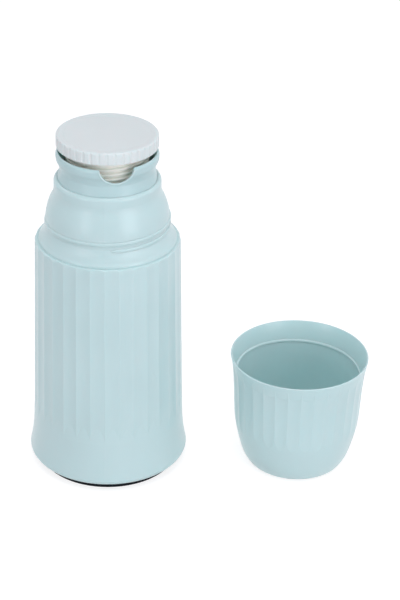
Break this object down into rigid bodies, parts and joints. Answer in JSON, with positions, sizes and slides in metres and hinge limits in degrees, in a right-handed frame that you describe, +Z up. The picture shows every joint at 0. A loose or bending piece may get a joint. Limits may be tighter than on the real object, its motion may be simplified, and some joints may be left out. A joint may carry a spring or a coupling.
{
  "type": "vacuum flask",
  "caption": "Fluted glass-lined vacuum flask with a pouring collar, a screw stopper that rises as it turns, and a fluted drinking cup standing beside it.",
  "frame": {"origin": "centre of the flask's foot, on the surface that it stands on", "axes": "+Z up along the flask's axis; the pouring notch faces -Y, 14.2 degrees towards +X; the cup stands at +X"},
  "size_m": [0.2227, 0.1042, 0.2327],
  "materials": {
    "casing_plastic": "moulded polypropylene, satin, pale mint blue",
    "gasket_rubber": "moulded food-grade rubber, off-white",
    "silvered_glass": "blown glass, silvered on the vacuum side",
    "tip_glass": "drawn clear glass",
    "spacer_felt": "pressed grey-brown felt",
    "cushion_rubber": "moulded black rubber",
    "base_plastic": "moulded, dark navy, fine grain",
    "stopper_plastic": "moulded, satin, cool white",
    "plug_plastic": "moulded natural polypropylene, cream",
    "insulating_foam": null,
    "seal_silicone": "moulded silicone, translucent white"
  },
  "bodies": {
    "flask": {"outer_casing": "casing_plastic", "pouring_collar": "casing_plastic", "mouth_gasket": "gasket_rubber", "liner_inner_bottle": "silvered_glass", "liner_outer_bottle": "silvered_glass", "liner_spacer_pads": "spacer_felt", "liner_exhaust_tip": "tip_glass", "base_cushion": "cushion_rubber", "base_cap": "base_plastic"},
    "seal_ring": {"stopper_seal": "seal_silicone"},
    "stopper": {"stopper_cap": "stopper_plastic", "stopper_plug": "plug_plastic", "stopper_foam": "insulating_foam"},
    "cup": {"drinking_cup": "casing_plastic"}
  },
  "joints": [
    {"name": "stopper_rise", "type": "slide", "parent": "flask", "child": "seal_ring", "axis": [0, 0, 1], "range_m": [0, 0.0481]},
    {"name": "stopper_turn", "type": "hinge", "parent": "seal_ring", "child": "stopper", "pos_m": [0, 0, 0.205], "axis": [0, 0, 1], "range_deg": [0, 2700]},
    {"name": "cup_lift", "type": "slide", "parent": "flask", "child": "cup", "axis": [0, 0, 1], "range_m": [0, 0.26]}
  ],
  "couplings": [
    {"joint": "stopper_rise", "follows": "stopper_turn", "m_per_rad": 0.0010186}
  ]
}
